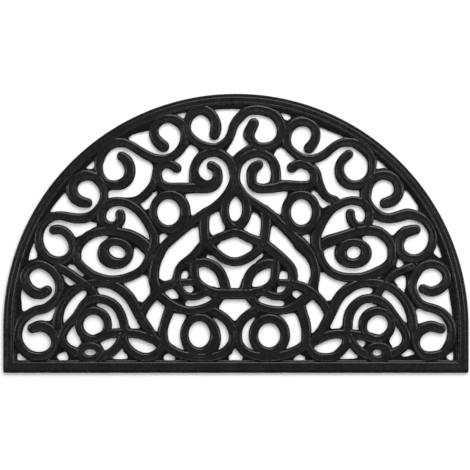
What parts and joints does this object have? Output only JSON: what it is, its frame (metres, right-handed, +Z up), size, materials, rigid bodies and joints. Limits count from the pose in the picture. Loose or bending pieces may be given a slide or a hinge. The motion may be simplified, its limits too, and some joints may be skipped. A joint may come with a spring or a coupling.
{
  "type": "half round rubber doormat",
  "caption": "Flat half round moulded rubber mat of open scrollwork inside a stepped rim, laid on the floor at a door to scrape shoes.",
  "frame": {"origin": "on the floor under the middle of the mat's bounding box", "axes": "+X along the straight edge, +Y from the straight edge towards the half round edge, +Z up out of the floor"},
  "size_m": [0.75, 0.45, 0.008],
  "materials": {
    "rubber": "satin black moulded rubber, a little greyer on the tops of the strands, fine grain"
  },
  "bodies": {
    "root": {"mat": "rubber"}
  },
  "joints": []
}
